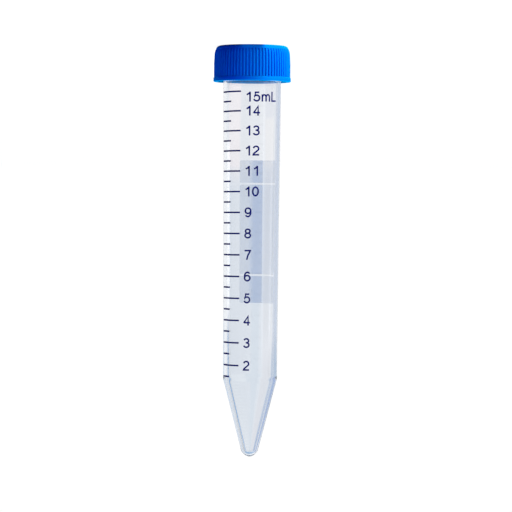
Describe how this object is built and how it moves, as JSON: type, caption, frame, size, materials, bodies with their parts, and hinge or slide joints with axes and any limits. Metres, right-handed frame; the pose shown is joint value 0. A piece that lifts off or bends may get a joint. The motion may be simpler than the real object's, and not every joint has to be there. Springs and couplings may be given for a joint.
{
  "type": "15 ml conical tube with screw cap",
  "caption": "Clear plastic centrifuge tube with a conical bottom, printed graduations and a ribbed blue screw cap, standing on its flat cap.",
  "frame": {"origin": "centre of the cap's flat top, which the capped tube stands on", "axes": "+Z along the tube's axis from the cap towards the conical tip; +Y and -Y are the sides with the writing panel and the graduations"},
  "size_m": [0.0226, 0.0226, 0.12],
  "materials": {
    "clear_plastic": "satin",
    "blue_plastic": "satin",
    "navy_ink": "matte",
    "white_ink": "matte"
  },
  "bodies": {
    "cap": {"screw_cap": "blue_plastic"},
    "tube": {"tube": "clear_plastic"}
  },
  "joints": [
    {"name": "tube_lift", "type": "slide", "parent": "cap", "child": "tube", "axis": [0, 0, 1], "range_m": [0, 0.02]}
  ]
}
